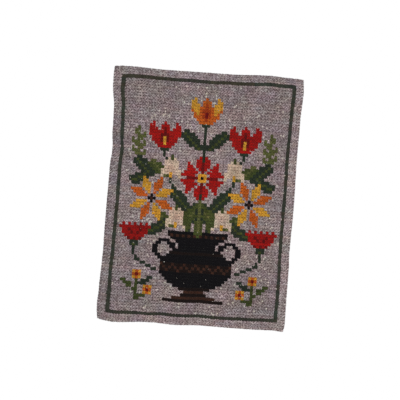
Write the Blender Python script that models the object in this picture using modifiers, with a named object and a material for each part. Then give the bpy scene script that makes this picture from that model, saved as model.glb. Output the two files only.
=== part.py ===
"""A cross-stitched canvas wall hanging with its raw edges turned to the back, as it hangs on a wall.

Metres, +Z up. The front faces -Y. The origin is at the middle of the top edge, on the wall's
plane: the back of the top hem lies on it, and the rest of the cloth stands a little off it.
"""

import math
from collections import namedtuple

import bmesh
import bpy
from mathutils import Matrix, Vector

MM = 0.001

# The worked face, counted in cross stitches on a canvas of about 4.5 stitches to the inch
STITCHES_ACROSS = 65
STITCHES_DOWN = 87
PITCH_ACROSS = 5.62 * MM
PITCH_DOWN = 5.71 * MM
WIDTH = STITCHES_ACROSS * PITCH_ACROSS
HEIGHT = STITCHES_DOWN * PITCH_DOWN

# The canvas is thick where wool covers it and thin in the bare margin that is turned under
WORKED_THICK = 3.2 * MM
HEM_THICK = 1.4 * MM
HEM_WIDTH = 24.0 * MM
LAYER_GAP = 0.8 * MM

# The fold at the edge is half a circle that carries the margin to its place behind the cloth
LAYER_STEP = WORKED_THICK / 2 + LAYER_GAP + HEM_THICK / 2
FOLD_RADIUS = LAYER_STEP / 2
FOLD_STEPS = 4
FOLD_REACH = FOLD_RADIUS + (WORKED_THICK + HEM_THICK) / 4
HEM_STEPS = 2

# The panel is modelled in cells of about this size
CELL = 15.5 * MM

# Below the top hem the cloth leaves the wall gradually
FREE_FROM = 30.0 * MM
FREE_BY = 120.0 * MM
BASE_LIFT = 2.5 * MM

# The corners are blunted by the bulk of the turned margins
CORNER_BLUNT = 2.2 * MM
CORNER_REACH = 14.0 * MM

# How far each edge strays outwards from a straight line, as the worked canvas has pulled it
Stray = namedtuple("Stray", "along outward_mm")
TOP_EDGE = (
    Stray(0.00, -0.5),
    Stray(0.09, 0.3),
    Stray(0.26, -1.6),
    Stray(0.49, -1.1),
    Stray(0.62, -0.8),
    Stray(0.82, 2.3),
    Stray(0.91, 0.7),
    Stray(1.00, -0.3),
)
BOTTOM_EDGE = (
    Stray(0.00, 0.6),
    Stray(0.09, 3.5),
    Stray(0.26, 0.1),
    Stray(0.31, -0.4),
    Stray(0.41, 0.9),
    Stray(0.55, -1.5),
    Stray(0.80, -1.3),
    Stray(0.94, -3.2),
    Stray(1.00, -2.2),
)
LEFT_EDGE = (
    Stray(0.00, 5.2),
    Stray(0.07, 4.8),
    Stray(0.17, -0.7),
    Stray(0.26, -1.6),
    Stray(0.33, -4.4),
    Stray(0.40, -1.3),
    Stray(0.58, -0.6),
    Stray(0.72, -0.7),
    Stray(0.88, 1.8),
    Stray(0.94, 3.3),
    Stray(1.00, 1.8),
)
RIGHT_EDGE = (
    Stray(0.00, 1.6),
    Stray(0.06, 3.1),
    Stray(0.17, 0.5),
    Stray(0.32, -0.6),
    Stray(0.50, 0.2),
    Stray(0.69, -1.1),
    Stray(0.75, 0.0),
    Stray(1.00, -0.3),
)
# An edge's stray fades towards the opposite edge by this power of the way across
STRAY_FADE = 3

# Soft swells and cockles that stand off the wall: the middle's place as shares of the width
# and height, half sizes along and across the ridge, its height and its slant
Swell = namedtuple("Swell", "across down half_long_mm half_wide_mm lift_mm slant_deg")
SWELLS = (
    Swell(0.52, 0.50, 150, 100, 4.5, 90),
    Swell(0.00, 0.34, 75, 24, 7.0, 14),
    Swell(0.03, 0.66, 60, 34, 3.5, 80),
    Swell(0.07, 1.00, 62, 30, 7.5, 35),
    Swell(0.40, 1.02, 60, 26, 4.0, 82),
    Swell(0.69, 1.00, 48, 30, 3.0, 96),
    Swell(0.99, 1.00, 70, 36, 8.5, 140),
    Swell(1.00, 0.46, 80, 26, 4.0, 92),
    Swell(0.80, 0.20, 70, 22, 3.0, 168),
    Swell(0.24, 0.24, 80, 28, 2.5, 20),
)

WOOL_COLOUR = (0.21, 0.17, 0.165, 1.0)
WOOL_ROUGHNESS = 0.95

COLLECTION_NAME = "wall_hanging"
NODE_NAME = "stitched_canvas"
THICK_GROUP = "worked"


def clear_scene():
    """Removes whatever the scene holds."""
    for obj in list(bpy.data.objects):
        bpy.data.objects.remove(obj, do_unlink=True)


def eased(share):
    """A share from 0 to 1, with a soft start and end."""
    share = min(max(share, 0.0), 1.0)
    return share * share * (3.0 - 2.0 * share)


def stray_at(edge, along):
    """How far this edge lies outside its straight line, in metres, at a share of its length."""
    along = min(max(along, 0.0), 1.0)
    for before, after in zip(edge, edge[1:]):
        if along <= after.along:
            share = eased((along - before.along) / (after.along - before.along))
            return MM * (before.outward_mm + share * (after.outward_mm - before.outward_mm))
    return MM * edge[-1].outward_mm


def faded(share):
    """How much of an edge's stray is left at this share of the way to the opposite edge."""
    return (1.0 - min(max(share, 0.0), 1.0)) ** STRAY_FADE


def swell_lift(swell, x, z):
    """What one swell adds to the cloth's distance from the wall."""
    away = Vector((x - (swell.across - 0.5) * WIDTH, z + swell.down * HEIGHT))
    slant = math.radians(swell.slant_deg)
    ridge = Vector((math.cos(slant), math.sin(slant)))
    along = away.dot(ridge) / (swell.half_long_mm * MM)
    aside = away.cross(ridge) / (swell.half_wide_mm * MM)
    return swell.lift_mm * MM * math.exp(-along * along - aside * aside)


def stand_off(x, z):
    """How far the cloth stands off the wall: nothing at the top hem, more below it."""
    freed = eased((-z - FREE_FROM) / (FREE_BY - FREE_FROM))
    return freed * (BASE_LIFT + sum(swell_lift(swell, x, z) for swell in SWELLS))


def corner_pull(x, z):
    """How far a point near a corner is drawn in, along each axis."""
    from_side = WIDTH / 2 - abs(x)
    from_end = HEIGHT / 2 - abs(z + HEIGHT / 2)
    nearness = (1.0 - max(from_side, 0.0) / CORNER_REACH, 1.0 - max(from_end, 0.0) / CORNER_REACH)
    return CORNER_BLUNT * max(nearness[0], 0.0) * max(nearness[1], 0.0)


def draped(point):
    """Where a point of the straight, flat hanging lies on the real one."""
    x, y, z = point
    across = x / WIDTH + 0.5
    down = -z / HEIGHT
    left = stray_at(LEFT_EDGE, down) * faded(across)
    right = stray_at(RIGHT_EDGE, down) * faded(1.0 - across)
    top = stray_at(TOP_EDGE, across) * faded(down)
    bottom = stray_at(BOTTOM_EDGE, across) * faded(1.0 - down)
    pull = corner_pull(x, z)
    return Vector(
        (
            x + right - left - math.copysign(pull, x),
            y - stand_off(x, z),
            z + top - bottom - math.copysign(pull, z + HEIGHT / 2),
        )
    )


def hem_loops():
    """The loops from the panel's edge round the fold and in under the cloth: inset and setback."""
    loops = []
    for step in range(1, FOLD_STEPS + 1):
        turn = math.pi * step / FOLD_STEPS
        inset = FOLD_REACH - FOLD_RADIUS * math.sin(turn)
        loops.append((inset, FOLD_RADIUS * (1.0 - math.cos(turn))))
    for step in range(1, HEM_STEPS + 1):
        loops.append((FOLD_REACH + HEM_WIDTH * step / HEM_STEPS, LAYER_STEP))
    return loops


def turn_hem(bm):
    """Carries the panel's edge round the fold and under the cloth, one loop at a time."""
    centre = Vector((0.0, 0.0, -HEIGHT / 2))
    inset = FOLD_REACH
    setback = 0.0
    for next_inset, next_setback in hem_loops():
        rim = [edge for edge in bm.edges if edge.is_boundary]
        made = bmesh.ops.extrude_edge_only(bm, edges=rim)["geom"]
        verts = [item for item in made if isinstance(item, bmesh.types.BMVert)]
        shrink = (
            (WIDTH / 2 - next_inset) / (WIDTH / 2 - inset),
            1.0,
            (HEIGHT / 2 - next_inset) / (HEIGHT / 2 - inset),
        )
        bmesh.ops.scale(bm, vec=shrink, space=Matrix.Translation(-centre), verts=verts)
        bmesh.ops.translate(bm, vec=(0.0, next_setback - setback, 0.0), verts=verts)
        inset, setback = next_inset, next_setback


def thicken_by_place(bm, front_y):
    """Gives each point its share of the wool's thickness: all in front, none in the margin."""
    weights = bm.verts.layers.deform.verify()
    for vert in bm.verts:
        vert[weights][0] = 1.0 - (vert.co.y - front_y) / LAYER_STEP


def canvas_mesh():
    """The middle surface of the canvas, hem and all."""
    bm = bmesh.new()
    front_y = -(HEM_THICK / 2 + LAYER_STEP)
    flat_width = WIDTH - 2 * FOLD_REACH
    flat_height = HEIGHT - 2 * FOLD_REACH
    place = (
        Matrix.Translation((0.0, front_y, -HEIGHT / 2))
        @ Matrix.Rotation(math.radians(90), 4, "X")
        @ Matrix.Diagonal((flat_width, flat_height, 1.0, 1.0))
    )
    bmesh.ops.create_grid(
        bm,
        x_segments=round(flat_width / CELL),
        y_segments=round(flat_height / CELL),
        size=0.5,
        matrix=place,
    )
    turn_hem(bm)
    thicken_by_place(bm, front_y)
    for vert in bm.verts:
        vert.co = draped(vert.co)
    mesh = bpy.data.meshes.new(NODE_NAME)
    bm.to_mesh(mesh)
    bm.free()
    mesh.shade_smooth()
    return mesh


def wool_material():
    """The grey heather wool that covers most of the canvas."""
    material = bpy.data.materials.new("heather_wool")
    material.use_nodes = True
    shader = material.node_tree.nodes["Principled BSDF"]
    shader.inputs["Base Color"].default_value = WOOL_COLOUR
    shader.inputs["Roughness"].default_value = WOOL_ROUGHNESS
    shader.inputs["Metallic"].default_value = 0.0
    return material


def stitched_canvas(collection):
    """The one piece of the hanging: worked canvas with its margins turned under."""
    hanging = bpy.data.objects.new(NODE_NAME, canvas_mesh())
    collection.objects.link(hanging)
    hanging.vertex_groups.new(name=THICK_GROUP)
    hanging.data.materials.append(wool_material())
    thickness = hanging.modifiers.new("thickness", "SOLIDIFY")
    thickness.thickness = WORKED_THICK
    thickness.offset = 0.0
    thickness.vertex_group = THICK_GROUP
    thickness.thickness_vertex_group = HEM_THICK / WORKED_THICK
    return hanging


def main():
    clear_scene()
    collection = bpy.data.collections.new(COLLECTION_NAME)
    bpy.context.scene.collection.children.link(collection)
    stitched_canvas(collection)


main()
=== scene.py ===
import math
from collections import namedtuple

import bmesh
import bpy
import numpy as np
from mathutils import Matrix


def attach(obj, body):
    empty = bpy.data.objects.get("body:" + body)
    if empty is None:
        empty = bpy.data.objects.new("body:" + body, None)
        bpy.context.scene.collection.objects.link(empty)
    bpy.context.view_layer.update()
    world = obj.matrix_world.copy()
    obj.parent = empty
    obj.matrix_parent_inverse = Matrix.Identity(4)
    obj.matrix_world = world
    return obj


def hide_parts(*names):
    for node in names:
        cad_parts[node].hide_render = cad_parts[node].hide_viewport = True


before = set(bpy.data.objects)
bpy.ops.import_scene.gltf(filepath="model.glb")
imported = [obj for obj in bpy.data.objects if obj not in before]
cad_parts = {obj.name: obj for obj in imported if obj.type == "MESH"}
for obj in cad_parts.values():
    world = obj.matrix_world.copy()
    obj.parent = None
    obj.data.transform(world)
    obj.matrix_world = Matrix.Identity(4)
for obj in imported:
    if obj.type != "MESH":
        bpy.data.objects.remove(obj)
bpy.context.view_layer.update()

# The canvas: one length of open cotton canvas, worked all over in cross stitch. Its bare margins
# are turned to the back on all four sides, and it hangs from its top hem, which lies on the wall.
# The sizes and folds are those of the solid that it stands in for.
MM = 0.001
ACROSS = 65
DOWN = 87
STITCH_WIDE = 5.62 * MM
STITCH_HIGH = 5.71 * MM
WIDTH = ACROSS * STITCH_WIDE
HEIGHT = DOWN * STITCH_HIGH
CANVAS_THICK = 0.8 * MM
HEM_WIDTH = 24.0 * MM
LAYER_STEP = 3.1 * MM
HEM_SETBACK = 0.7 * MM
FOLD_RADIUS = LAYER_STEP / 2
MEAN_HALF_THICK = 1.15 * MM
FOLD_REACH = FOLD_RADIUS + MEAN_HALF_THICK
FOLD_STEPS = 6
HEM_STEPS = 5
FRONT_Y = -(HEM_SETBACK + LAYER_STEP)
FLAT_HALF_WIDTH = WIDTH / 2 - FOLD_REACH
FLAT_HALF_HEIGHT = HEIGHT / 2 - FOLD_REACH

# Below the top hem the cloth leaves the wall gradually
FREE_FROM = 30.0 * MM
FREE_BY = 120.0 * MM
BASE_LIFT = 2.5 * MM

# How far each edge strays from a straight line: pairs of a share of its length, from the left or
# the top, and millimetres outwards. It fades by this power of the way to the opposite edge.
STRAY_FADE = 3
TOP_EDGE = (
    (0.00, -0.5), (0.09, 0.3), (0.26, -1.6), (0.49, -1.1), (0.62, -0.8), (0.82, 2.3),
    (0.91, 0.7), (1.00, -0.3),
)
BOTTOM_EDGE = (
    (0.00, 0.6), (0.09, 3.5), (0.26, 0.1), (0.31, -0.4), (0.41, 0.9), (0.55, -1.5),
    (0.80, -1.3), (0.94, -3.2), (1.00, -2.2),
)
LEFT_EDGE = (
    (0.00, 5.2), (0.07, 4.8), (0.17, -0.7), (0.26, -1.6), (0.33, -4.4), (0.40, -1.3),
    (0.58, -0.6), (0.72, -0.7), (0.88, 1.8), (0.94, 3.3), (1.00, 1.8),
)
RIGHT_EDGE = (
    (0.00, 1.6), (0.06, 3.1), (0.17, 0.5), (0.32, -0.6), (0.50, 0.2), (0.69, -1.1),
    (0.75, 0.0), (1.00, -0.3),
)

# How far each corner is drawn in by the bulk of its turned margins. The upper ones are squarer, and
# the lower right one is drawn in from the side alone, which leaves it as a tip.
CORNER_REACH = 14.0 * MM
Corner = namedtuple("Corner", "to_right to_up sideways_mm lengthwise_mm")
CORNERS = (
    Corner(-1, 1, 1.2, 0.6),
    Corner(1, 1, 0.2, 0.4),
    Corner(-1, -1, 1.5, 1.3),
    Corner(1, -1, 2.4, -0.3),
)

# The cloth's slow swells and cockles: where, how large, how far off the wall and how slanted
Swell = namedtuple("Swell", "across down half_long_mm half_wide_mm lift_mm slant_deg")
SWELLS = (
    Swell(0.52, 0.50, 150, 100, 4.5, 90),
    Swell(0.00, 0.34, 75, 24, 7.0, 14),
    Swell(0.03, 0.66, 60, 34, 3.5, 80),
    Swell(0.07, 1.00, 62, 30, 7.5, 35),
    Swell(0.40, 1.02, 60, 26, 4.0, 82),
    Swell(0.69, 1.00, 48, 30, 3.0, 96),
    Swell(0.99, 1.00, 70, 36, 8.5, 140),
    Swell(1.00, 0.46, 80, 26, 4.0, 92),
    Swell(0.80, 0.20, 70, 22, 3.0, 168),
    Swell(0.24, 0.24, 80, 28, 2.5, 20),
)

# How far the border line strays outwards from its straight row, as the rows were drawn out of
# line inside each edge
TOP_LINE = (
    (0.04, -0.4), (0.15, 2.0), (0.38, 2.3), (0.50, 1.3), (0.61, 2.1), (0.84, 3.0),
    (0.96, 3.7),
)
BOTTOM_LINE = (
    (0.04, -0.2), (0.15, 0.9), (0.27, 3.1), (0.38, 1.7), (0.73, 1.7), (0.84, 0.6),
    (0.96, 0.2),
)
LEFT_LINE = (
    (0.03, -0.8), (0.12, 1.5), (0.31, 0.7), (0.50, -0.9), (0.59, -0.3), (0.78, 1.5),
    (0.88, -0.5), (0.97, -0.8),
)
RIGHT_LINE = (
    (0.03, 0.7), (0.12, 1.9), (0.31, 0.9), (0.50, 0.2), (0.69, 1.4), (0.97, 0.9),
)

# The line's depth inside an edge, how many times that depth its stray reaches further in, and the
# depth from which the rows wave a little as well
LINE_DEPTH = 20.0 * MM
LINE_REACH = 3.0
EDGE_HOLD = 10.0 * MM
RowWave = namedtuple("RowWave", "size_mm turns start")
ROW_WAVES = (RowWave(0.30, 2.3, 0.4), RowWave(0.22, 5.1, 1.9), RowWave(0.14, 9.7, 4.2))
SHEAR_ACROSS = 3
SHEAR_DOWN = 4


def eased(share):
    """A share from 0 to 1, with a soft start and end."""
    share = np.clip(share, 0.0, 1.0)
    return share * share * (3.0 - 2.0 * share)


def stray_at(edge, along):
    """How far an edge lies outside its straight line, at these shares of its length."""
    places, outward_mm = np.array(edge).T
    outward = outward_mm * MM
    along = np.clip(along, 0.0, 1.0)
    before = np.clip(np.searchsorted(places, along) - 1, 0, len(edge) - 2)
    share = eased((along - places[before]) / (places[before + 1] - places[before]))
    return outward[before] + share * (outward[before + 1] - outward[before])


def stand_off(x, z):
    """How far the cloth stands off the wall: nothing at the top hem, more below it."""
    lift = np.full(x.shape, BASE_LIFT)
    for swell in SWELLS:
        right = x - (swell.across - 0.5) * WIDTH
        up = z + swell.down * HEIGHT
        slant = math.radians(swell.slant_deg)
        along = (right * math.cos(slant) + up * math.sin(slant)) / (swell.half_long_mm * MM)
        aside = (right * math.sin(slant) - up * math.cos(slant)) / (swell.half_wide_mm * MM)
        lift += swell.lift_mm * MM * np.exp(-along * along - aside * aside)
    return lift * eased((-z - FREE_FROM) / (FREE_BY - FREE_FROM))


def drawn_out(line, along, depth):
    """How far the rows at this depth inside an edge have been drawn out towards it."""
    steps_in = depth / LINE_DEPTH
    fading = np.exp(-((np.maximum(steps_in - 1.0, 0.0) / LINE_REACH) ** 2))
    return stray_at(line, along) * eased(steps_in) * fading


def row_drift(x, z):
    """How far the rows inside have been drawn out of line, to the right and up."""
    across = x / WIDTH + 0.5
    down = -z / HEIGHT
    right = drawn_out(RIGHT_LINE, down, WIDTH / 2 - x) - drawn_out(LEFT_LINE, down, WIDTH / 2 + x)
    up = drawn_out(TOP_LINE, across, -z) - drawn_out(BOTTOM_LINE, across, HEIGHT + z)
    held = eased((WIDTH / 2 - np.abs(x)) / EDGE_HOLD)
    held = held * eased((HEIGHT / 2 - np.abs(z + HEIGHT / 2)) / EDGE_HOLD)
    for wave in ROW_WAVES:
        size = held * (wave.size_mm * MM)
        turns = 2 * math.pi * wave.turns
        right += size * np.sin(turns * z / HEIGHT + wave.start + x / WIDTH * SHEAR_ACROSS)
        up += size * np.sin(turns * x / WIDTH + 2 * wave.start + z / HEIGHT * SHEAR_DOWN)
    return right, up


def draped(points):
    """Where points of the straight, flat hanging lie on the real one."""
    x, y, z = points[..., 0], points[..., 1], points[..., 2]
    across = x / WIDTH + 0.5
    down = -z / HEIGHT
    from_left = np.clip(1.0 - across, 0.0, 1.0) ** STRAY_FADE
    from_right = np.clip(across, 0.0, 1.0) ** STRAY_FADE
    from_top = np.clip(1.0 - down, 0.0, 1.0) ** STRAY_FADE
    from_bottom = np.clip(down, 0.0, 1.0) ** STRAY_FADE
    right = stray_at(RIGHT_EDGE, down) * from_right - stray_at(LEFT_EDGE, down) * from_left
    up = stray_at(TOP_EDGE, across) * from_top - stray_at(BOTTOM_EDGE, across) * from_bottom
    for corner in CORNERS:
        from_side = WIDTH / 2 - corner.to_right * x
        from_end = HEIGHT / 2 - corner.to_up * (z + HEIGHT / 2)
        near = np.clip(1.0 - from_side / CORNER_REACH, 0.0, 1.0)
        near = near * np.clip(1.0 - from_end / CORNER_REACH, 0.0, 1.0)
        right -= corner.to_right * corner.sideways_mm * MM * near
        up -= corner.to_up * corner.lengthwise_mm * MM * near
    drift_right, drift_up = row_drift(x, z)
    return np.stack((x + right + drift_right, y - stand_off(x, z), z + up + drift_up), axis=-1)


def node(tree, kind, inputs=(), **settings):
    """A shader node with its settings, and each input linked to a socket or set to a value."""
    made = tree.nodes.new(kind)
    for name, value in settings.items():
        setattr(made, name, value)
    for name, value in dict(inputs).items():
        if isinstance(value, bpy.types.NodeSocket):
            tree.links.new(value, made.inputs[name])
        else:
            made.inputs[name].default_value = value
    return made


VECTORS = "ShaderNodeVectorMath"


def math_node(tree, operation, *values, kind="ShaderNodeMath"):
    """The result of one sum on sockets or numbers, or on vectors."""
    return node(tree, kind, enumerate(values), operation=operation).outputs[0]


def noise(tree, place, scale, detail):
    """A soft random pattern, read at this place."""
    return node(tree, "ShaderNodeTexNoise", {"Vector": place, "Scale": scale, "Detail": detail})


def mixed(tree, share, first, second):
    """The first colour where the share is nothing, and the second where it is whole."""
    inputs = {0: share, 6: first, 7: second}
    return node(tree, "ShaderNodeMix", inputs, data_type="RGBA").outputs[2]


def shade(red, green, blue):
    """A colour as a screen shows it, from 0 to 255, made linear for the shader."""
    return tuple((part / 255) ** 2.2 for part in (red, green, blue)) + (1.0,)


def plain_material(name, roughness):
    """A new material, with its nodes and its shader."""
    material = bpy.data.materials.new(name)
    material.use_nodes = True
    shader = material.node_tree.nodes["Principled BSDF"]
    shader.inputs["Roughness"].default_value = roughness
    return material, material.node_tree, shader


# The canvas threads lie in pairs. Each is this share of a stitch from its middle and this half
# width, and loses this share of its height where it goes under another.
THREADS_A_STITCH = 2.0
THREAD_AT = 0.17
THREAD_HALF = 0.15
GOES_UNDER = 0.4
SLUB_SCALE = 2.6
BUMP_DEPTH = 0.5 * MM
PALE_COTTON = shade(232, 218, 190)
DEEP_COTTON = shade(188, 170, 138)
# Painted shade, seen in the holes and on the low sides of the threads
HOLE_SHADE = shade(74, 62, 48)


def canvas_material(name, is_face):
    """Open cotton canvas: threads in pairs both ways, with a hole at the corners of each stitch, and
    painted shade in the holes and on the threads' low sides. Fibres of the wool fill its face
    where the stitches cover it, so that takes their colour, with painted shade between the crosses."""
    material, tree, shader = plain_material(name, 0.9)
    uv = node(tree, "ShaderNodeUVMap", uv_map="weave").outputs["UV"]
    cell = math_node(tree, "FRACTION", uv, kind=VECTORS)
    threads = []
    for place in node(tree, "ShaderNodeSeparateXYZ", {0: cell}).outputs[:2]:
        from_middle = math_node(tree, "ABSOLUTE", math_node(tree, "SUBTRACT", place, 0.5))
        off = math_node(tree, "SUBTRACT", from_middle, THREAD_AT)
        off = math_node(tree, "POWER", math_node(tree, "DIVIDE", off, THREAD_HALF), 2.0)
        crown = math_node(tree, "MAXIMUM", math_node(tree, "SUBTRACT", 1.0, off), 0.0)
        threads.append(math_node(tree, "SQRT", crown))
    checker = {"Vector": uv, "Scale": THREADS_A_STITCH}
    over = node(tree, "ShaderNodeTexChecker", checker).outputs["Fac"]
    warp_high = math_node(tree, "MULTIPLY_ADD", over, GOES_UNDER, 1.0 - GOES_UNDER)
    warp = math_node(tree, "MULTIPLY", threads[0], warp_high)
    weft_high = math_node(tree, "MULTIPLY_ADD", over, -GOES_UNDER, 1.0)
    weft = math_node(tree, "MULTIPLY", threads[1], weft_high)
    relief = math_node(tree, "MAXIMUM", warp, weft)
    slub = noise(tree, uv, SLUB_SCALE, detail=4.0)
    cotton = mixed(tree, slub.outputs["Fac"], PALE_COTTON, DEEP_COTTON)
    # The holes and the threads' low sides take the painted shade
    seen = mixed(tree, relief, HOLE_SHADE, cotton)
    if is_face:
        # The wool fibres' colour, darkened as painted shade in the gaps between the crosses
        felt = node(tree, "ShaderNodeAttribute", attribute_name="felt")
        seen = mixed(tree, felt.outputs["Alpha"], seen, felt.outputs["Color"])
    tree.links.new(seen, shader.inputs["Base Color"])
    bump = node(tree, "ShaderNodeBump", {"Height": relief, "Strength": 0.8, "Distance": BUMP_DEPTH})
    tree.links.new(bump.outputs["Normal"], shader.inputs["Normal"])
    return material


def added(name, data):
    """A new object at the scene's origin."""
    made = bpy.data.objects.new(name, data)
    bpy.context.scene.collection.objects.link(made)
    return made


bm = bmesh.new()
panel = (
    Matrix.Translation((0.0, FRONT_Y, -HEIGHT / 2))
    @ Matrix.Rotation(math.radians(90), 4, "X")
    @ Matrix.Diagonal((2 * FLAT_HALF_WIDTH, 2 * FLAT_HALF_HEIGHT, 1.0, 1.0))
)
bmesh.ops.create_grid(bm, x_segments=ACROSS - 1, y_segments=DOWN - 1, size=0.5, matrix=panel)
hem_loops = []
for step in range(1, FOLD_STEPS + 1):
    turn = math.pi * step / FOLD_STEPS
    inset = FOLD_REACH - FOLD_RADIUS * math.sin(turn)
    hem_loops.append((inset, FOLD_RADIUS * (1.0 - math.cos(turn))))
for step in range(1, HEM_STEPS + 1):
    hem_loops.append((FOLD_REACH + HEM_WIDTH * step / HEM_STEPS, LAYER_STEP))
middle = Matrix.Translation((0.0, 0.0, HEIGHT / 2))
last_inset, last_setback = FOLD_REACH, 0.0
for inset, setback in hem_loops:
    rim = [edge for edge in bm.edges if edge.is_boundary]
    made = bmesh.ops.extrude_edge_only(bm, edges=rim)["geom"]
    verts = [item for item in made if isinstance(item, bmesh.types.BMVert)]
    shrink = (
        (WIDTH / 2 - inset) / (WIDTH / 2 - last_inset),
        1.0,
        (HEIGHT / 2 - inset) / (HEIGHT / 2 - last_inset),
    )
    bmesh.ops.scale(bm, vec=shrink, space=middle, verts=verts)
    bmesh.ops.translate(bm, vec=(0.0, setback - last_setback, 0.0), verts=verts)
    last_inset, last_setback = inset, setback
weave = bm.loops.layers.uv.new("weave")
for face in bm.faces:
    for corner in face.loops:
        x, y, z = corner.vert.co
        corner[weave].uv = (x / STITCH_WIDE + ACROSS / 2, (z + HEIGHT) / STITCH_HIGH)
straight = np.array([vert.co for vert in bm.verts])
for vert, place in zip(bm.verts, draped(straight)):
    vert.co = place
canvas = added("canvas", bpy.data.meshes.new("canvas"))
bm.to_mesh(canvas.data)
bm.free()
canvas.data.shade_smooth()
canvas.data.materials.append(canvas_material("ecru_canvas_face", True))
canvas.data.materials.append(canvas_material("ecru_canvas_back", False))
body = canvas.modifiers.new("thickness", "SOLIDIFY")
body.thickness = CANVAS_THICK
body.offset = 0.0
body.material_offset = 1
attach(canvas, "root")
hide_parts("stitched_canvas")


# The chart: a sampler design counted on the canvas threads, the same to left and right of the
# middle row of stitches. Flowers, leaves and a footed urn are short charts of their own, and a
# table says where each one is worked. Letters are wools, and a dot is bare ground. Of those that
# stand on the middle row, only the right half is charted, from the middle outwards.
TULIP = (
    ".R...R...R.",
    "RR..RRR..RR",
    "RRR.RrR.RRR",
    "RRRRRrRRRRR",
    "RRRRrrrRRRR",
    ".RRRrYrRRR.",
    ".RRRrYrRRR.",
    "..RRRYRRR..",
    "...RRRRR...",
    "....GGG....",
    ".....G.....",
)
HALF_GOLD_TULIP = (
    "O...Y.",
    "OO..YY",
    "DO.YYY",
    "DOOYYY",
    "DDOYYO",
    "rDOYO.",
    "rDOOO.",
    "DOOO..",
    "OOO...",
    "GG....",
    "G.....",
)
STAR = (
    "....O.....Y....",
    "....OO...YY....",
    "....OOO.YYY....",
    "....OOO.YYY....",
    "YYYY.OO.YY.OOOO",
    ".YYYY.O.Y.OOOO.",
    "..YYYY.K.OOOO..",
    "......KMK......",
    "..OOOO.K.YYYY..",
    ".OOOO.Y.O.YYYY.",
    "OOOO.YY.OO.YYYY",
    "....YYY.OOO....",
    "....YYY.OOO....",
    "....YY...OO....",
    "....Y.....O....",
)
HALF_RED_STAR = (
    ".R......",
    ".RR.....",
    "rRR..R..",
    "rRR.RR..",
    "rR.RRR..",
    "r.RRRRR.",
    "YY.RRRRR",
    "KYrrrr..",
    "YY.RRRRR",
    "r.RRRRR.",
    "rR.RRR..",
    "rRR.RR..",
    "rRR..R..",
    ".RR.....",
    ".R......",
)
CARNATION = (
    ".R.R.R.R.R.",
    "RRRRRRRRRRR",
    ".RRrRRRrRR.",
    ".RRRrRrRRR.",
    "..RRRRRRR..",
    "...rRrRr...",
    "....GGG....",
    "....GgG....",
    ".....G.....",
)
BELL = (
    "...g...",
    "..CgC..",
    ".CCCCC.",
    ".CCPCC.",
    ".CPPPC.",
    "CCPPPCC",
    "CCPYPCC",
    "C..Y..C",
)
LEAF = (
    ".....GG.",
    "...GGGgG",
    "..GGGgGG",
    ".GGGgGG.",
    ".GGgGG..",
    "GGgGG...",
    "GgG.....",
)
MOSS_LEAF = (
    ".....oo.",
    "...ggogg",
    "..ggogg.",
    ".ggogg..",
    ".gogg...",
    "gog.....",
)
LOW_LEAF = (
    "GG......",
    "GgGG....",
    "GGgGGG..",
    ".GGggGGG",
    "..GGGggG",
    "....GGG.",
)
HALF_VINE_LEAF = (
    "o.....",
    "og....",
    "ogg...",
    "oGggg.",
    "oGoggg",
    "oggogg",
    "oGgggg",
    "ogGggg",
    "og.ggg",
    "og.gg.",
    "og..g.",
    "gg....",
    "g.....",
)
FERN = (
    "...o...",
    "...oo..",
    ".o.oo..",
    ".ooo...",
    "..oo.o.",
    ".o.ooo.",
    ".oooo..",
    "..oo.o.",
    ".o.ooo.",
    ".oooo..",
    "..oo...",
    "..o....",
)
SPRIG = (
    "....YOY....",
    "....OrO....",
    "GG..YOY....",
    ".GGG.g...gg",
    "..GGGg.ggg.",
    "YOY..g.gg..",
    "OrO..gg....",
    "YOY..g.....",
    "..gggg.....",
    "....gg.....",
)
HALF_URN = (
    "KKKKKKKKKKK",
    "BMBMBMBMBMB",
    "KKKKKKKKKK",
    "KKKKKKKK..KKKK",
    "KKKKKKK.KKK..KK",
    "KKKKKKK.KK....KK",
    "KKKKKKKKK.....KK",
    "BBBBBBBBBB....KK",
    "KKKKKKKKKKK..KK",
    "KKKKKKKKKKKKKK",
    "KKKKKKKKKKKKK",
    "MBBBMBBBMBBBM",
    "BMBMBMBMBMBMB",
    "BBMBBBMBBBMBB",
    "KKKKKKKKKKKKK",
    "KKKKKKKKKKKK",
    "KKKKKKKKKKK",
    "KKKKKKKKKK",
    "KKKKKKKK",
    "BBBBBB",
    "MMMM",
    "BBBBB",
    "MMMMMMMM",
    "BBBBBBBBBBB",
)

# Runs of single stitches for the stalks, then the motifs, later ones over earlier ones. Columns
# count outwards from the middle one, and rows down from the first row inside the border line.
Stalk = namedtuple("Stalk", "wool column row to_column to_row")
STALKS = (
    Stalk("G", 0, 15, 0, 50),
    Stalk("G", 14, 24, 11, 33),
    Stalk("G", 11, 33, 3, 50),
    Stalk("o", 23, 28, 18, 36),
    Stalk("G", 22, 57, 21, 61),
    Stalk("G", 21, 61, 14, 64),
)
Worked = namedtuple("Worked", "motif column row")
WORKED = (
    Worked(HALF_URN, 0, 51),
    Worked(FERN, 20, 16),
    Worked(LEAF, 1, 16),
    Worked(LEAF, 17, 26),
    Worked(LOW_LEAF, 18, 30),
    Worked(MOSS_LEAF, 12, 27),
    Worked(LEAF, 4, 36),
    Worked(LOW_LEAF, 1, 41),
    Worked(MOSS_LEAF, 9, 44),
    Worked(TULIP, 9, 14),
    Worked(BELL, 8, 25),
    Worked(STAR, 10, 33),
    Worked(LOW_LEAF, 11, 47),
    Worked(BELL, 5, 42),
    Worked(CARNATION, 17, 49),
    Worked(SPRIG, 15, 65),
    Worked(HALF_GOLD_TULIP, 0, 5),
    Worked(HALF_RED_STAR, 0, 25),
    Worked(HALF_VINE_LEAF, 0, 40),
)
MARGIN = 3
MIDDLE_COLUMN = ACROSS // 2
FIRST_ROW = MARGIN + 1

chart = np.full((DOWN, ACROSS), ".")


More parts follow.
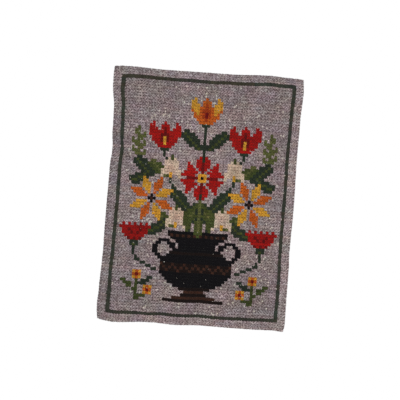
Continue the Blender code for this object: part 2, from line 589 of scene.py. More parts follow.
def work(wool, column, row):
    """Marks one stitch of the chart and its twin on the other side of the middle."""
    if wool != ".":
        chart[FIRST_ROW + row, MIDDLE_COLUMN + column] = wool
        chart[FIRST_ROW + row, MIDDLE_COLUMN - column] = wool


for stalk in STALKS:
    steps = max(abs(stalk.to_column - stalk.column), abs(stalk.to_row - stalk.row))
    for step in range(steps + 1):
        share = step / steps
        column = round(stalk.column + share * (stalk.to_column - stalk.column))
        work(stalk.wool, column, round(stalk.row + share * (stalk.to_row - stalk.row)))
for motif, column, row in WORKED:
    for down, marks in enumerate(motif):
        for along, wool in enumerate(marks):
            work(wool, column + along, row + down)
motif_cells = chart != "."
line_cells = np.zeros(chart.shape, bool)
line_cells[MARGIN : DOWN - MARGIN, MARGIN : ACROSS - MARGIN] = True
line_cells[MARGIN + 1 : DOWN - MARGIN - 1, MARGIN + 1 : ACROSS - MARGIN - 1] = False
margin_cells = np.ones(chart.shape, bool)
margin_cells[MARGIN : DOWN - MARGIN, MARGIN : ACROSS - MARGIN] = False
ground_cells = ~(motif_cells | line_cells | margin_cells)


# The crosses: each stitch is a strand of wool that comes up through a hole, crosses the canvas to
# the next corner and goes down, and a second leg over it the other way. Behind the canvas a short
# upright bar joins the two. Legs are shaped once and then laid on the cloth in their thousands.
Knot = namedtuple("Knot", "along height_mm half_wide_mm half_thick_mm")
UNDER_LEG = (
    Knot(-1.00, 0.15, 0.90, 0.55),
    Knot(-0.78, 0.88, 1.50, 0.70),
    Knot(0.78, 0.88, 1.50, 0.70),
    Knot(1.00, 0.15, 0.90, 0.55),
)
TOP_LEG = (
    Knot(-1.00, 0.15, 0.90, 0.55),
    Knot(-0.80, 0.80, 1.16, 0.64),
    Knot(-0.26, 1.42, 1.22, 0.66),
    Knot(0.26, 1.42, 1.22, 0.66),
    Knot(0.80, 0.80, 1.16, 0.64),
    Knot(1.00, 0.15, 0.90, 0.55),
)
BACK_BAR = (
    Knot(-1.00, -0.20, 0.60, 0.35),
    Knot(0.00, 0.85, 0.95, 0.55),
    Knot(1.00, -0.20, 0.60, 0.35),
)
YARN_END = (
    Knot(-1.00, -0.20, 0.60, 0.35),
    Knot(-0.92, 0.45, 0.85, 0.40),
    Knot(-0.10, 0.50, 0.85, 0.40),
    Knot(0.70, 0.45, 0.90, 0.40),
    Knot(0.86, 1.25, 0.95, 0.50),
    Knot(1.00, 1.50, 0.70, 0.35),
)
Leg = namedtuple("Leg", "points corners starts yarn_uv bake_uv")

# Each stitch is baked in a square of its own, with a strip of it for each leg: where the leg's
# sides lie in that strip, and its two end faces beside them
SIDES_FROM = 0.03
SIDES_WIDE = 0.82
STRIP_EDGE = 0.04
ENDS_AT = 0.93
END_SIZE = 0.05
END_SHARES = (0.3, 0.7)


def shaped_leg(knots, sides, strip=(0.0, 0.9), from_strand=0.0):
    """One leg along +X, from hole to hole, with its place on the yarn and in the baked square."""
    bm = bmesh.new()
    lie_down = Matrix.Rotation(math.radians(90), 4, "Y")
    bmesh.ops.create_cone(
        bm, cap_ends=True, segments=sides, radius1=1.0, radius2=1.0, depth=2.0, matrix=lie_down
    )
    for knot in knots[1:-1]:
        geom = bm.verts[:] + bm.edges[:] + bm.faces[:]
        bmesh.ops.bisect_plane(bm, geom=geom, plane_co=(knot.along, 0, 0), plane_no=(1, 0, 0))
    bmesh.ops.recalc_face_normals(bm, faces=bm.faces)
    along = [knot.along for knot in knots]
    yarn_uv, bake_uv, corners, starts = [], [], [], []
    strip_low = strip[0]
    strip_deep = strip[1] - strip[0]
    bm.verts.index_update()
    for face in bm.faces:
        starts.append(len(corners))
        turns = [math.atan2(c.vert.co.z, c.vert.co.y) / (2 * math.pi) % 1.0 for c in face.loops]
        is_cap = len({round(c.vert.co.x, 4) for c in face.loops}) == 1
        if not is_cap and max(turns) - min(turns) > 0.5:
            turns = [turn + 1.0 if turn < 0.5 else turn for turn in turns]
        for corner, turn in zip(face.loops, turns):
            corners.append(corner.vert.index)
            share = (corner.vert.co.x + 1.0) / 2
            yarn_uv.append((from_strand + share, turn))
            if is_cap:
                middle_high = strip_low + strip_deep * END_SHARES[int(share > 0.5)]
                from_left = ENDS_AT + END_SIZE * corner.vert.co.y
                high = middle_high + END_SIZE * corner.vert.co.z
            else:
                from_left = SIDES_FROM + SIDES_WIDE * share
                high = strip_low + strip_deep * (STRIP_EDGE + (1 - 2 * STRIP_EDGE) * turn)
            bake_uv.append((from_left, high))
    for vert in bm.verts:
        at = vert.co.x
        wide = np.interp(at, along, [knot.half_wide_mm for knot in knots]) * MM
        thick = np.interp(at, along, [knot.half_thick_mm for knot in knots]) * MM
        high = np.interp(at, along, [knot.height_mm for knot in knots]) * MM
        vert.co = (at, vert.co.y * wide, vert.co.z * thick + high)
    points = np.array([vert.co for vert in bm.verts])
    bm.free()
    return Leg(points, np.array(corners), np.array(starts), np.array(yarn_uv), np.array(bake_uv))


under_leg = shaped_leg(UNDER_LEG, sides=6, strip=(0.00, 0.34))
top_leg = shaped_leg(TOP_LEG, sides=7, strip=(0.36, 0.76), from_strand=3.0)
back_bar = shaped_leg(BACK_BAR, sides=5, strip=(0.78, 0.98), from_strand=6.0)
yarn_end = shaped_leg(YARN_END, sides=6)


def on_cloth(right, up, height):
    """World points for places on the canvas: measured along it from the middle of the hanging,
    round the fold at the edges too, and this far in front of its mid-plane."""
    over_right = np.maximum(np.abs(right) - FLAT_HALF_WIDTH, 0.0)
    over_up = np.maximum(np.abs(up) - FLAT_HALF_HEIGHT, 0.0)
    over = np.maximum(over_right, over_up)
    turn = np.minimum(over / FOLD_RADIUS, math.pi)
    most = np.maximum(over, 1e-9)
    slant = np.maximum(np.hypot(over_right, over_up), 1e-9)
    out = FOLD_RADIUS * np.sin(turn) / most + height * np.sin(turn) / slant
    x = np.clip(right, -FLAT_HALF_WIDTH, FLAT_HALF_WIDTH) + np.sign(right) * over_right * out
    z = np.clip(up, -FLAT_HALF_HEIGHT, FLAT_HALF_HEIGHT) + np.sign(up) * over_up * out
    y = FRONT_Y + FOLD_RADIUS * (1.0 - np.cos(turn)) - height * np.cos(turn)
    return draped(np.stack((x, y, z - HEIGHT / 2), axis=-1))


# Wool is used up in lengths of some twenty stitches, and each length took the dye a little
# differently, so the shade changes along a row by the length and not by the stitch. The middle of
# the hanging and its right and lower margins are made paler further on, as painted light.
LENGTH_BEGUN = 20
LENGTH_STITCHES = (11, 34)
LENGTH_TONE = 0.05
LENGTH_WARMTH = 0.5
PATCHINESS = 0.05
rng = np.random.default_rng(4187)
tone = np.zeros(chart.shape)
warmth = np.zeros(chart.shape)
for row in range(DOWN):
    column = -int(rng.integers(0, LENGTH_BEGUN))
    while column < ACROSS:
        run = int(rng.integers(*LENGTH_STITCHES))
        length = slice(max(column, 0), max(column + run, 0))
        tone[row, length] = rng.normal(0.0, LENGTH_TONE)
        warmth[row, length] = rng.normal(0.0, LENGTH_WARMTH)
        column += run

# Soft patches of a few stitches lie over that, where the wool was rubbed or took up dust
patches = rng.normal(0.0, 1.0, chart.shape)
for axis in (0, 1, 0, 1):
    patches = sum(np.roll(patches, shift, axis) for shift in (-1, 0, 1))
tone += PATCHINESS * patches / patches.std()

# The middle, paler as painted light and warmer in tint, and then the margins' own shades. The
# right and lower margins are paler as painted light, and the outermost stitches, on the fold,
# carry a painted highlight, paler still.
rows, columns = np.mgrid[0:DOWN, 0:ACROSS]
BRIGHT_MIDDLE_COLUMN = 31
BRIGHT_MIDDLE_ROW = 40
BRIGHT_MIDDLE_WIDE = 23
BRIGHT_MIDDLE_HIGH = 30
MIDDLE_PAINTED_LIGHT = 0.14
BRIGHT_MIDDLE_WARMER = 1.2
BASE_TONE = -0.04
bright_middle = np.exp(
    -(((columns - BRIGHT_MIDDLE_COLUMN) / BRIGHT_MIDDLE_WIDE) ** 2) - ((rows - BRIGHT_MIDDLE_ROW) / BRIGHT_MIDDLE_HIGH) ** 2
)
tone += MIDDLE_PAINTED_LIGHT * bright_middle + BASE_TONE
warmth += BRIGHT_MIDDLE_WARMER * bright_middle
right_margin = columns >= ACROSS - MARGIN
lower_margin = rows >= DOWN - MARGIN
Shift = namedtuple("Shift", "cells paler warmer")
# Painted light: the right and lower margins and the outermost stitches are shifted paler
SHIFTS = (
    Shift(margin_cells, 0.01, -0.6),
    Shift(right_margin, 0.16, 0.0),
    Shift(lower_margin, 0.07, 0.0),
    Shift(columns == ACROSS - 1, 0.10, 0.0),
    Shift((rows == 0) | (rows == DOWN - 1), 0.05, 0.0),
    Shift(columns == 0, 0.03, 0.0),
    Shift(right_margin | lower_margin, 0.0, 0.8),
)
for shift in SHIFTS:
    tone[shift.cells] += shift.paler
    warmth[shift.cells] += shift.warmer

# The wool lies fuller in the middle rows and in the margins, where it was drawn less tight
FULLER_MIDDLE = 0.12
FULLER_ROWS = 28
MARGIN_FULLNESS = 1.16
fullness = 1.0 + FULLER_MIDDLE * np.exp(-(((rows - DOWN // 2) / FULLER_ROWS) ** 4))
fullness[margin_cells] = MARGIN_FULLNESS

# A leg's zero height is a little in front of the canvas's middle, and its slope is less than that
# of the stitch's own diagonal. The outer stitches have the turned hem behind them, and so no bar.
YARN_BASE = 0.3 * CANVAS_THICK
ROW_SQUEEZE = 0.78
TURNED_UNDER = 4
half_diagonal = math.hypot(STITCH_WIDE, STITCH_HIGH) / 2


def behind_hem(right, up, height):
    """World points on the turned hem, this far in front of its mid-plane, or behind it."""
    y = np.broadcast_to(-HEM_SETBACK - height, right.shape)
    return draped(np.stack((right, y, up - HEIGHT / 2), axis=-1))


def laid(leg, right, up, lean, reach, plump=1.0, lift=1.0, bow=0.0, side=1, surface=on_cloth):
    """Copies of one leg on the cloth, at these places. Lean is the slope and reach the half
    length of each, bow is how far its middle lies to one side, and side is -1 behind the cloth."""
    reach, plump, lift, bow, lean = (
        np.broadcast_to(value, right.shape)[:, None] for value in (reach, plump, lift, bow, lean)
    )
    x, y, z = leg.points.T
    along = x * reach
    across = (y * plump + (1.0 - x * x) * bow) * side
    height = (z * lift + YARN_BASE) * side
    return surface(
        right[:, None] + along * np.cos(lean) - across * np.sin(lean),
        up[:, None] + along * np.sin(lean) + across * np.cos(lean),
        height,
    )


def joined(name, groups, dye):
    """One closed mesh of many legs. Each group is a leg, its points laid, and its stitches."""
    cells = int(math.ceil(math.sqrt(len(dye))))
    points, corners, starts, yarn_uv, bake_uv, point_dye = [], [], [], [], [], []
    first_point = first_corner = 0
    for leg, places, stitches in groups:
        count = len(stitches)
        offsets = first_point + len(leg.points) * np.arange(count)[:, None]
        corners.append((leg.corners[None, :] + offsets).ravel())
        corner_offsets = first_corner + len(leg.corners) * np.arange(count)[:, None]
        starts.append((leg.starts[None, :] + corner_offsets).ravel())
        cell = np.stack((stitches % cells, stitches // cells), axis=-1)[:, None, :]
        bake_uv.append(((leg.bake_uv[None] + cell) / cells).reshape(-1, 2))
        yarn_uv.append(np.broadcast_to(leg.yarn_uv, (count,) + leg.yarn_uv.shape).reshape(-1, 2))
        points.append(places.reshape(-1, 3))
        point_dye.append(np.repeat(dye[stitches], len(leg.points), axis=0))
        first_point += count * len(leg.points)
        first_corner += count * len(leg.corners)
    mesh = bpy.data.meshes.new(name)
    mesh.vertices.add(first_point)
    mesh.vertices.foreach_set("co", np.concatenate(points).ravel())
    mesh.loops.add(first_corner)
    mesh.loops.foreach_set("vertex_index", np.concatenate(corners))
    starts = np.concatenate(starts)
    mesh.polygons.add(len(starts))
    mesh.polygons.foreach_set("loop_start", starts)
    mesh.update(calc_edges=True)
    for layer, places in (("yarn", yarn_uv), ("OFBake", bake_uv)):
        mesh.uv_layers.new(name=layer).uv.foreach_set("vector", np.concatenate(places).ravel())
    shades = mesh.attributes.new(name="dye", type="FLOAT_VECTOR", domain="POINT")
    shades.data.foreach_set("vector", np.concatenate(point_dye).ravel())
    mesh.shade_smooth()
    return added(name, mesh)


# How unevenly a hand lays the crosses, the bars and the yarn ends, as standard deviations. Slopes
# are in radians, and the rest without a unit are shares of the leg's own size or shade.
Uneven = namedtuple("Uneven", "across_mm up_mm width height slope length tone warmth")
HAND = Uneven(0.20, 0.10, 0.07, 0.08, 0.13, 0.02, 0.03, 0.25)
BAR_SLOPE = 0.06
BAR_LENGTH = 1.02
BAR_LENGTH_UNEVEN = 0.03
END_SLOPE = 0.10
END_REACH = (1.3, 2.8)
END_BOW = 1.0 * MM


def crossed(name, cells, plumpness, reach_share=1.0, height_share=1.0, ends=0):
    """All the crosses of one wool, front and back, as one piece. Behind are its yarn ends too,
    which run under a few of the bars."""
    rows, columns = np.nonzero(cells)
    count = len(rows)
    every = np.arange(count)
    right = (columns + 0.5 - ACROSS / 2) * STITCH_WIDE + rng.normal(0.0, HAND.across_mm * MM, count)
    up = (DOWN / 2 - rows - 0.5) * STITCH_HIGH + rng.normal(0.0, HAND.up_mm * MM, count)
    plump = plumpness * fullness[rows, columns] * rng.normal(1.0, HAND.width, count)
    lift = height_share * rng.normal(1.0, HAND.height, count)
    slope = math.atan2(ROW_SQUEEZE * STITCH_HIGH, STITCH_WIDE)
    groups = []
    for leg, lean in ((under_leg, -slope), (top_leg, slope)):
        leans = lean + rng.normal(0.0, HAND.slope, count)
        reach = reach_share * half_diagonal * rng.normal(1.0, HAND.length, count)
        groups.append((leg, laid(leg, right, up, leans, reach, plump, lift), every))
    from_end = np.minimum(rows, DOWN - 1 - rows)
    from_side = np.minimum(columns, ACROSS - 1 - columns)
    bare_behind = every[np.minimum(from_end, from_side) >= TURNED_UNDER]
    if len(bare_behind):
        to_hole = np.where(columns < ACROSS / 2, 0.5, -0.5) * STITCH_WIDE
        upright = math.pi / 2 + rng.normal(0.0, BAR_SLOPE, len(bare_behind))
        uneven_length = rng.normal(BAR_LENGTH, BAR_LENGTH_UNEVEN, len(bare_behind))
        reach = STITCH_HIGH / 2 * uneven_length
        bar_right = (right + to_hole)[bare_behind]
        bars = laid(back_bar, bar_right, up[bare_behind], upright, reach, plump[bare_behind], side=-1)
        groups.append((back_bar, bars, bare_behind))
    ends = min(ends, len(bare_behind))
    if ends:
        starts = rng.choice(bare_behind, ends, replace=False)
        leans = rng.choice((0.0, math.pi), ends) + rng.normal(0.0, END_SLOPE, ends)
        reach = rng.uniform(*END_REACH, ends) * STITCH_WIDE
        bow = rng.normal(0.0, END_BOW, ends)
        loose = laid(yarn_end, right[starts], up[starts], leans, reach, bow=bow, side=-1)
        groups.append((yarn_end, loose, count + np.arange(ends)))
    dye = np.stack(
        (
            1.0 + tone[rows, columns] + rng.normal(0.0, HAND.tone, count),
            warmth[rows, columns] + rng.normal(0.0, HAND.warmth, count),
            rng.random(count),
        ),
        axis=-1,
    )
    end_dye = np.stack((np.ones(ends), np.zeros(ends), rng.random(ends)), axis=-1)
    return joined(name, groups, np.concatenate((dye, end_dye)))


# How the fibres mix along a strand, the painted shade in the grooves between its plies, and the
# fleece's fine grain and slow drift of tint
STRANDS_APART = 83.0
MIX_FROM = 0.36
MIX_TO = 0.64
GROOVES_AROUND = 3.0
GROOVES_ALONG = 5.0
GROOVE_LIGHT = 0.72
CROWN_LIGHT = 0.36
FIBRE_SCALE = 1500.0
FIBRE_RELIEF = 0.5
FLEECE_SCALE = 42.0
FLEECE_TINT = 0.22


def wool(name, pale, deep, flecks=2.2, fuzz=0.3, drift=0.04):
    """Wool in three twisted plies, with fibres of a pale and a deep shade, which come and go
    along the strand, painted shade in the grooves between the plies, and a soft dull sheen.
    Fuzz is how far single fibres differ, and drift how far one length of it may be redder than
    the next."""
    material, tree, shader = plain_material(name, 0.92)
    shader.inputs["Sheen Weight"].default_value = 0.04
    shader.inputs["Sheen Roughness"].default_value = 0.6
    shader.inputs["Specular IOR Level"].default_value = 0.1
    dye = node(tree, "ShaderNodeAttribute", attribute_name="dye")
    lightness, warmth, chance = node(
        tree, "ShaderNodeSeparateXYZ", {0: dye.outputs["Vector"]}
    ).outputs
    yarn = node(tree, "ShaderNodeUVMap", uv_map="yarn").outputs["UV"]
    along, around, _ = node(tree, "ShaderNodeSeparateXYZ", {0: yarn}).outputs
    strand = node(
        tree,
        "ShaderNodeCombineXYZ",
        {
            "X": math_node(tree, "MULTIPLY", along, flecks),
            "Y": around,
            "Z": math_node(tree, "MULTIPLY", chance, STRANDS_APART),
        },
    ).outputs["Vector"]
    blend = noise(tree, strand, scale=1.0, detail=1.0)
    share = node(
        tree,
        "ShaderNodeMapRange",
        {"Value": blend.outputs["Fac"], "From Min": MIX_FROM, "From Max": MIX_TO},
    ).outputs["Result"]
    spun = mixed(tree, share, deep, pale)
    place = node(tree, "ShaderNodeTexCoord").outputs["Object"]
    fibre = noise(tree, place, FIBRE_SCALE, detail=2.0)
    spread = math_node(tree, "MULTIPLY_ADD", fibre.outputs["Fac"], 4 * fuzz, 1.0 - 2 * fuzz)
    twist = math_node(tree, "MULTIPLY_ADD", along, GROOVES_ALONG, chance)
    twist = math_node(tree, "MULTIPLY_ADD", around, GROOVES_AROUND, twist)
    turned = math_node(tree, "SINE", math_node(tree, "MULTIPLY", twist, math.pi))
    ply = math_node(tree, "ABSOLUTE", turned)
    # Painted shade: the colour is darkened in the grooves between the plies
    ply_groove_shade = math_node(tree, "MULTIPLY_ADD", ply, CROWN_LIGHT, GROOVE_LIGHT)
    light = math_node(tree, "MULTIPLY", math_node(tree, "MULTIPLY", spread, ply_groove_shade), lightness)
    even_tint = 1.0 - FLEECE_TINT / 2
    tint = node(
        tree,
        "ShaderNodeCombineXYZ",
        {
            "X": math_node(tree, "MULTIPLY_ADD", warmth, drift, even_tint),
            "Y": even_tint,
            "Z": math_node(tree, "MULTIPLY_ADD", warmth, -drift / 2, even_tint),
        },
    ).outputs["Vector"]
    fleece = noise(tree, place, FLEECE_SCALE, detail=1.0).outputs["Color"]
    tint = math_node(tree, "MULTIPLY_ADD", fleece, (FLEECE_TINT,) * 3, tint, kind=VECTORS)
    tinted = math_node(tree, "MULTIPLY", spun, tint, kind=VECTORS)
    seen = node(tree, VECTORS, {0: tinted, "Scale": light}, operation="SCALE").outputs[0]
    tree.links.new(seen, shader.inputs["Base Color"])
    relief = math_node(tree, "MULTIPLY_ADD", fibre.outputs["Fac"], FIBRE_RELIEF, ply)
    bump = node(tree, "ShaderNodeBump", {"Height": relief, "Strength": 0.9, "Distance": BUMP_DEPTH})
    tree.links.new(bump.outputs["Normal"], shader.inputs["Normal"])
    return material


PALE_SHARE = 1.08
DEEP_SHARE = 0.86


def dyed(colour):
    """The pale and the deep fibres of a wool that is dyed this colour."""
    return tuple(shade(*(share * part for part in colour)) for share in (PALE_SHARE, DEEP_SHARE))


# The ground: heather wool, spun from pinkish, grey and beige fleece, in the field inside the line
# and in the plain margin outside it. The field is worked from the top down in three bands.
heather = wool("heather_grey_wool", shade(177, 164, 164), shade(116, 99, 101))
GROUND_BANDS = {"ground_upper": (0, 30), "ground_middle": (30, 58), "ground_lower": (58, DOWN)}
GROUND_ENDS = 26
MARGIN_REACH = 1.03
heather_pieces = [crossed("margin", margin_cells, 1.0, reach_share=MARGIN_REACH)]
for name, (first, end) in GROUND_BANDS.items():
    band = ground_cells.copy()
    band[:first] = False
    band[end:] = False
    heather_pieces.append(crossed(name, band, 1.0, ends=GROUND_ENDS))
for piece in heather_pieces:
    piece.data.materials.append(heather)
    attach(piece, "root")


# The border: one row of crosses in bottle green wool, inside three stitches of margin. Its wool is
# thicker than the ground's, so the line is wider than its row and stands a little proud of it. It
# is widest up its left side, and plumper round its corners.
BORDER_GREEN = (57, 59, 51)
BORDER_PLUMPNESS = 2.15
BORDER_HEIGHT = 1.18
BORDER_DRIFT = 0.16
CORNER_STITCHES = 9
CORNER_LONGER = 0.16
CORNER_PLUMPER = 3
Side = namedtuple("Side", "rows columns reach_share")
SIDES = (
    Side(MARGIN, slice(None), 1.12),
    Side(DOWN - MARGIN - 1, slice(None), 0.80),
    Side(slice(None), MARGIN, 1.20),
    Side(slice(None), ACROSS - MARGIN - 1, 1.10),
)
line_reach = np.ones(chart.shape)
for side in SIDES:
    line_reach[side.rows, side.columns] = side.reach_share
from_end = np.minimum(rows, DOWN - 1 - rows)
from_side = np.minimum(columns, ACROSS - 1 - columns)
from_corner = from_end + from_side - 2 * MARGIN
at_corner = CORNER_LONGER * np.exp(-((from_corner / CORNER_STITCHES) ** 2))
border = crossed(
    "border_line",
    line_cells,
    (BORDER_PLUMPNESS + CORNER_PLUMPER * at_corner)[line_cells],
    reach_share=(line_reach + at_corner)[line_cells],
    height_share=BORDER_HEIGHT,
)
border_wool = wool("bottle_green_border_wool", *dyed(BORDER_GREEN), drift=BORDER_DRIFT)
border.data.materials.append(border_wool)
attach(border, "root")


# The flowers, leaves and urn: thirteen dyed wools, each carried over its own stitches of the chart.
Strand = namedtuple("Strand", "mark name colour")
STRANDS = (
    Strand("K", "black_wool", (13, 9, 15)),
    Strand("B", "dark_brown_wool", (28, 17, 14)),
    Strand("M", "brown_wool", (60, 38, 29)),
    Strand("G", "bottle_green_wool", (43, 52, 41)),
    Strand("g", "moss_green_wool", (66, 74, 38)),
    Strand("o", "olive_wool", (90, 93, 54)),
    Strand("R", "red_wool", (153, 22, 18)),
    Strand("r", "dark_red_wool", (104, 17, 17)),
    Strand("O", "orange_wool", (181, 88, 31)),
    Strand("D", "deep_orange_wool", (158, 62, 24)),
    Strand("Y", "gold_wool", (198, 144, 50)),
    Strand("C", "cream_wool", (201, 180, 159)),
    Strand("P", "rose_beige_wool", (183, 159, 141)),
)
FLOWER_PLUMPNESS = 1.04
FEWEST_ENDS = 2
STITCHES_AN_END = 40
for strand in STRANDS:
    cells = chart == strand.mark
    ends = FEWEST_ENDS + cells.sum() // STITCHES_AN_END
    piece = crossed(strand.name, cells, FLOWER_PLUMPNESS, ends=ends)
    piece.data.materials.append(wool(strand.name, *dyed(strand.colour)))
    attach(piece, "root")

# The fibres that fill the canvas are those of the stitch over it, in its deep shade, and for the
# ground and margin darker than the wool: painted shade in the gaps between the crosses
GROUND_FIBRES_AND_SHADE = shade(92, 80, 79)
MARGIN_FIBRES_AND_SHADE = shade(109, 97, 95)
fibres = np.tile(GROUND_FIBRES_AND_SHADE, (DOWN, ACROSS, 1))
fibres[margin_cells] = MARGIN_FIBRES_AND_SHADE
fibres[line_cells] = shade(*BORDER_GREEN)
for strand in STRANDS:
    fibres[chart == strand.mark] = dyed(strand.colour)[1]
column = np.clip(np.floor(straight[:, 0] / STITCH_WIDE + ACROSS / 2), 0, ACROSS - 1).astype(int)
row = np.clip(np.floor(-straight[:, 2] / STITCH_HIGH), 0, DOWN - 1).astype(int)
gap_fibres_and_shade = fibres[row, column]
gap_fibres_and_shade[straight[:, 1] > FRONT_Y + FOLD_RADIUS] = 0.0
felt = canvas.data.attributes.new(name="felt", type="FLOAT_COLOR", domain="POINT")
felt.data.foreach_set("color", gap_fibres_and_shade.ravel())


# The canvas threads that show: where the wool was drawn too tight, most of all round the flowers,
# a pair of the canvas's pale threads bulges up through the gap between two crosses. Between the
# closer stitches of the flowers they stay deeper.
PEEP = (
    Knot(-1.00, 0.10, 0.30, 0.20),
    Knot(-0.40, 1.60, 0.60, 0.45),
    Knot(0.40, 1.60, 0.60, 0.45),
    Knot(1.00, 0.10, 0.30, 0.20),
)
PEEP_REACH = 2.4 * MM
PEEP_APART = 0.56 * MM
PEEP_DEEP = 0.38
PEEP_UNEVEN = 0.1
peep = shaped_leg(PEEP, sides=5)
NEAR_STITCHES = (6, 4, 2)
near_motif = np.zeros(chart.shape)
for step in NEAR_STITCHES:
    reached = motif_cells.copy()
    for shift in range(-step, step + 1):
        for axis in (0, 1):
            reached |= np.roll(motif_cells, shift, axis)
    near_motif[reached] += 1 / len(NEAR_STITCHES)

# How likely the threads are to show beside a stitch, by its wool
GROUND_CHANCE = 0.006
NEAR_CHANCE = 0.05
FLOWER_CHANCE = 0.03
URN_CHANCE = 0.015
LEAF_CHANCE = 0.045
chances = GROUND_CHANCE + NEAR_CHANCE * near_motif
chances[margin_cells | line_cells] = 0.0
chances[motif_cells] = FLOWER_CHANCE
chances[np.isin(chart, ("K", "B", "M"))] = URN_CHANCE
chances[np.isin(chart, ("G", "g", "o"))] = LEAF_CHANCE
gap_right, gap_up, gap_lean, gap_lift = [], [], [], []
for lean, to_right, to_up in ((math.pi / 2, 0.0, 0.5), (0.0, 0.5, 0.0)):
    by_motif = motif_cells | np.roll(motif_cells, 1 if to_up else -1, 0 if to_up else 1)
    rows, columns = np.nonzero(rng.random(chart.shape) < chances)
    gap_right.append((columns + 0.5 + to_right - ACROSS / 2) * STITCH_WIDE)
    gap_up.append((DOWN / 2 - rows - 0.5 + to_up) * STITCH_HIGH)
    gap_lean.append(np.full(len(rows), lean))
    gap_lift.append(np.where(by_motif[rows, columns], PEEP_DEEP, 1.0))
gap_right, gap_up, gap_lean, gap_lift = (
    np.tile(np.concatenate(part), 2) for part in (gap_right, gap_up, gap_lean, gap_lift)
)
count = len(gap_right)
to_side = np.repeat((-PEEP_APART, PEEP_APART), count // 2)
gap_right -= to_side * np.sin(gap_lean)
gap_up += to_side * np.cos(gap_lean)
gap_lift *= rng.normal(1.0, PEEP_UNEVEN, count)
places = laid(peep, gap_right, gap_up, gap_lean, PEEP_REACH, lift=gap_lift)
THREAD_TONE = 0.06


def even_dye(count):
    """The dye attribute for threads that all took it alike."""
    lightness = rng.normal(1.0, THREAD_TONE, count)
    return np.stack((lightness, np.zeros(count), rng.random(count)), axis=-1)


cotton = wool("ecru_cotton_thread", shade(250, 245, 234), shade(220, 208, 188), fuzz=0.1)
peeping = joined("peeping_canvas_threads", [(peep, places, np.arange(count))], even_dye(count))
peeping.data.materials.append(cotton)
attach(peeping, "root")


# The hem: the canvas was cut with scissors, so its threads stand out along the raw edge, and whip
# stitches of linen thread hold that edge down to the back of the work. More of them close the
# folds at the corners.
CUT_END = (Knot(-1.00, -0.05, 0.34, 0.28), Knot(1.00, 0.12, 0.20, 0.18))
WHIP = (
    Knot(-1.00, -0.40, 0.34, 0.30),
    Knot(-0.78, 0.42, 0.42, 0.34),
    Knot(-0.05, 0.40, 0.42, 0.34),
    Knot(0.22, -0.50, 0.40, 0.34),
    Knot(0.80, -2.50, 0.38, 0.32),
    Knot(1.00, -3.10, 0.30, 0.28),
)
SEAM_STITCH = (
    Knot(-1.00, -0.40, 0.34, 0.30),
    Knot(-0.60, 0.40, 0.42, 0.34),
    Knot(0.60, 0.40, 0.42, 0.34),
    Knot(1.00, -0.40, 0.34, 0.30),
)
CUT_INSET = 0.8 * MM
CUT_UNEVEN = 0.3 * MM
CUT_LEAN = 0.22
CUT_REACH_MM = (0.8, 1.9)
WHIP_SPACING = 8.4 * MM
WHIP_INSET = 0.4 * MM
WHIP_UNEVEN = 0.6 * MM
WHIP_REACH = 3.0 * MM
WHIP_REACH_UNEVEN = 0.08
WHIP_SLANT = 0.5
WHIP_LEAN = 0.08
SEAM_STITCHES = 5
SEAM_START = 0.7
SEAM_REACH = 2.4 * MM
SEAM_LEAN = 0.15
raw_edge = FOLD_REACH + HEM_WIDTH
raw_half_width = WIDTH / 2 - raw_edge
raw_half_height = HEIGHT / 2 - raw_edge


def along_raw_edge(spacing, inset, uneven):
    """Places along all four raw edges, with the direction that leads inwards from each."""
    places = []
    for half_length, half_across, inward in (
        (raw_half_height, raw_half_width, 0.0),
        (raw_half_width, raw_half_height, math.pi / 2),
        (raw_half_height, raw_half_width, math.pi),
        (raw_half_width, raw_half_height, -math.pi / 2),
    ):
        at = np.arange(-half_length + spacing / 2, half_length, spacing)
        at = at + rng.normal(0.0, uneven, len(at))
        out = half_across - inset + np.zeros(len(at))
        right = -out * math.cos(inward) + at * math.sin(inward)
        up = -out * math.sin(inward) - at * math.cos(inward)
        places.append(np.stack((right, up, np.full(len(at), inward)), axis=-1))
    return np.concatenate(places).T


cut_end = shaped_leg(CUT_END, sides=4)
whip = shaped_leg(WHIP, sides=5)
seam_stitch = shaped_leg(SEAM_STITCH, sides=5)
cut_right, cut_up, inward = along_raw_edge(STITCH_WIDE / 2, CUT_INSET, CUT_UNEVEN)
count = len(cut_right)
cut_ends = laid(
    cut_end,
    cut_right,
    cut_up,
    inward + rng.normal(0.0, CUT_LEAN, count),
    rng.uniform(*CUT_REACH_MM, count) * MM,
    side=-1,
    surface=behind_hem,
)
fringe = joined("cut_canvas_threads", [(cut_end, cut_ends, np.arange(count))], even_dye(count))
fringe.data.materials.append(cotton)
whip_right, whip_up, inward = along_raw_edge(WHIP_SPACING, WHIP_INSET, WHIP_UNEVEN)
count = len(whip_right)
whips = laid(
    whip,
    whip_right,
    whip_up,
    inward + WHIP_SLANT + rng.normal(0.0, WHIP_LEAN, count),
    WHIP_REACH * rng.normal(1.0, WHIP_REACH_UNEVEN, count),
    side=-1,
    surface=behind_hem,
)
along = np.tile((np.arange(SEAM_STITCHES) + SEAM_START) / SEAM_STITCHES, 4)
to_right = np.repeat((-1, 1, 1, -1), SEAM_STITCHES)
to_up = np.repeat((1, 1, -1, -1), SEAM_STITCHES)
seam_right = to_right * (raw_half_width + HEM_WIDTH * along)
seam_up = to_up * (raw_half_height + HEM_WIDTH * along)
across_fold = np.where(to_right * to_up > 0, -math.pi / 4, math.pi / 4)
seam_leans = across_fold + rng.normal(0.0, SEAM_LEAN, len(along))
seams = laid(
    seam_stitch, seam_right, seam_up, seam_leans, SEAM_REACH, side=-1, surface=behind_hem
)
total = count + len(along)
hem_groups = [(whip, whips, np.arange(count)), (seam_stitch, seams, np.arange(count, total))]
hem_stitches = joined("hem_stitches", hem_groups, even_dye(total))
hem_stitches.data.materials.append(
    wool("linen_thread", shade(214, 200, 172), shade(160, 142, 112), flecks=1.2, fuzz=0.15)
)
for piece in (fringe, hem_stitches):
    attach(piece, "root")


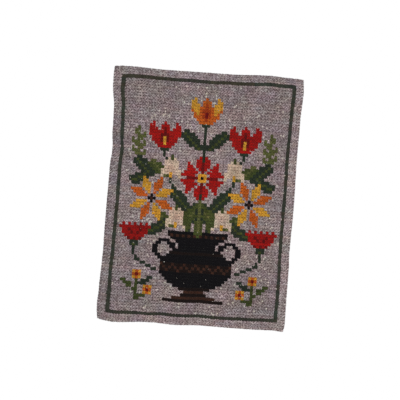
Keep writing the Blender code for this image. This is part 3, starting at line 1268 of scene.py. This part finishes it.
# The studio: a round pale floor well below the hanging, soft light from large boxes in front and
# one behind, and a white surround. The camera looks at the hanging square on, from a little over
# two metres, and is turned a few degrees.
FLOOR_DROP = 2.3
FLOOR_RADIUS = 4.5
FLOOR_COLOUR = (0.85, 0.85, 0.84, 1.0)
SURROUND_LIGHT = 0.34
floor_bm = bmesh.new()
bmesh.ops.create_circle(floor_bm, cap_ends=True, segments=128, radius=FLOOR_RADIUS)
bmesh.ops.translate(floor_bm, vec=(0.0, 0.0, -FLOOR_DROP), verts=floor_bm.verts)
floor = added("floor", bpy.data.meshes.new("floor"))
floor_bm.to_mesh(floor.data)
floor_bm.free()
floor_material, _, floor_shader = plain_material("pale_floor", 0.8)
floor_shader.inputs["Base Color"].default_value = FLOOR_COLOUR
floor.data.materials.append(floor_material)

world = bpy.data.worlds.new("studio")
world.use_nodes = True
surround = world.node_tree.nodes["Background"]
surround.inputs["Color"].default_value = (1.0, 1.0, 1.0, 1.0)
seen = node(world.node_tree, "ShaderNodeLightPath").outputs["Is Camera Ray"]
brightness = math_node(world.node_tree, "MULTIPLY_ADD", seen, 1.0 - SURROUND_LIGHT, SURROUND_LIGHT)
world.node_tree.links.new(brightness, surround.inputs["Strength"])
bpy.context.scene.world = world

LightBox = namedtuple("LightBox", "name place size power")
for box in (
    LightBox("key_box", (-0.8, -1.9, 0.5), 1.0, 24.2),
    LightBox("fill_box", (1.1, -1.8, -0.7), 1.4, 20.8),
    LightBox("back_box", (0.7, 1.9, 0.5), 1.2, 32.0),
):
    lamp = bpy.data.lights.new(box.name, "AREA")
    lamp.shape = "SQUARE"
    lamp.size = box.size
    lamp.energy = box.power
    holder = added(box.name, lamp)
    holder.location = box.place
    aim = Matrix.Translation((0.0, 0.0, -HEIGHT / 2)).translation - holder.location
    holder.rotation_euler = aim.to_track_quat("-Z", "Y").to_euler()

PHOTO_SIDE = 400
MM_A_PIXEL = 1.9536
LENS_MM = 100.0
SENSOR_MM = 36.0
VIEW_CENTRE = (-0.57 * MM, -250.7 * MM)
FACE_OFF_WALL = 8.0 * MM
TURNED_DEG = 4.38
camera = added("camera", bpy.data.cameras.new("camera"))
camera.data.lens = LENS_MM
camera.data.sensor_width = SENSOR_MM
view_distance = PHOTO_SIDE * MM_A_PIXEL * MM * LENS_MM / SENSOR_MM
camera.location = (VIEW_CENTRE[0], -view_distance - FACE_OFF_WALL, VIEW_CENTRE[1])
camera.rotation_euler = (math.radians(90), math.radians(-TURNED_DEG), 0.0)
bpy.context.scene.camera = camera
bpy.context.scene.view_settings.view_transform = "Standard"

# A denoiser would wipe away the grain of single crosses, so it is off, and the brightest single
# samples are capped instead
BRIGHTEST_SAMPLE = 3.0
bpy.context.scene.cycles.use_denoising = False
bpy.context.scene.cycles.sample_clamp_direct = BRIGHTEST_SAMPLE
